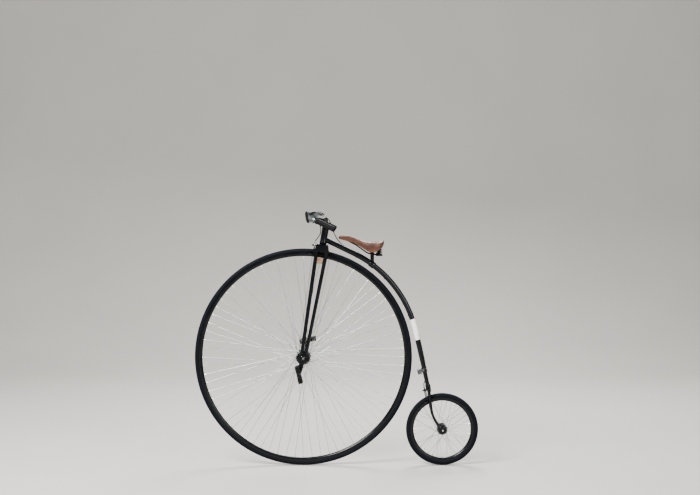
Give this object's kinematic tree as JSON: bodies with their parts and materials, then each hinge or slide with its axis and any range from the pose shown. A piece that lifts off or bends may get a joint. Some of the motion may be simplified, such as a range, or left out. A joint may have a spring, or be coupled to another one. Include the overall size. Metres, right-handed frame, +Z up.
{
  "type": "penny farthing bicycle",
  "caption": "Penny farthing bicycle with a tall front wheel, a small rear wheel, a curved backbone, a sprung leather saddle, a swept handlebar and rim brakes.",
  "frame": {"origin": "the rider's seat point, on the top of the saddle above the seat post", "axes": "+X backwards along the bicycle, +Y to its right side, +Z up"},
  "size_m": [1.6585, 0.5814, 1.488],
  "materials": {
    "black_paint": "gloss black enamel",
    "bright_steel": "bright plated steel",
    "tyre_rubber": "matt black tyre rubber",
    "moulded_rubber": "moulded black rubber",
    "brown_leather": "red-brown saddle leather",
    "alloy": "satin light alloy"
  },
  "bodies": {
    "frame": {"backbone": "black_paint", "head_tube": "black_paint", "headset_cups": "black_paint", "rear_fork_crown": "black_paint", "rear_fork_left": "black_paint", "rear_fork_right": "black_paint", "rear_axle": "bright_steel", "mounting_step": "black_paint", "seat_post": "black_paint", "saddle_frame": "black_paint", "saddle_springs": "black_paint", "saddle_plate": "black_paint", "saddle_cover": "brown_leather", "rear_caliper": "black_paint", "rear_brake_pads": "moulded_rubber", "rear_cable": "moulded_rubber", "rear_cable_loop": "moulded_rubber", "cable_clips": "black_paint"},
    "steering": {"fork_crown": "black_paint", "fork_left": "black_paint", "fork_right": "black_paint", "bearing_cap_left": "black_paint", "bearing_cap_right": "black_paint", "bearing_left": "bright_steel", "bearing_right": "bright_steel", "headset_races": "black_paint", "stem": "black_paint", "handlebar": "black_paint", "grip_left": "moulded_rubber", "grip_right": "moulded_rubber", "brake_lever_left": "alloy", "brake_lever_right": "alloy", "front_caliper": "black_paint", "front_brake_pads": "moulded_rubber", "front_cable": "moulded_rubber"},
    "front_wheel": {"front_tyre": "tyre_rubber", "front_rim": "black_paint", "front_hub": "black_paint", "front_axle": "bright_steel", "crank_left": "black_paint", "crank_right": "black_paint"},
    "pedal_left": {"pedal_left_frame": "black_paint", "pedal_left_blocks": "moulded_rubber"},
    "pedal_right": {"pedal_right_frame": "black_paint", "pedal_right_blocks": "moulded_rubber"},
    "rear_wheel": {"rear_tyre": "tyre_rubber", "rear_rim": "black_paint", "rear_hub": "black_paint"}
  },
  "joints": [
    {"name": "steering_turn", "type": "hinge", "parent": "frame", "child": "steering", "pos_m": [-0.4, 0, -0.675], "axis": [0.1702, 0, 0.9854], "range_deg": [-60, 60], "deforming": ["rear_cable_loop"]},
    {"name": "front_wheel_turn", "type": "hinge", "parent": "steering", "child": "front_wheel", "pos_m": [-0.4, 0, -0.675], "axis": [0, 1, 0], "continuous": true},
    {"name": "pedal_left_turn", "type": "hinge", "parent": "front_wheel", "child": "pedal_left", "pos_m": [-0.42153, 0, -0.76136], "axis": [0, 1, 0], "continuous": true},
    {"name": "pedal_right_turn", "type": "hinge", "parent": "front_wheel", "child": "pedal_right", "pos_m": [-0.37847, 0, -0.58864], "axis": [0, 1, 0], "continuous": true},
    {"name": "rear_wheel_turn", "type": "hinge", "parent": "frame", "child": "rear_wheel", "pos_m": [0.412, 0, -1.0985], "axis": [0, 1, 0], "continuous": true}
  ]
}
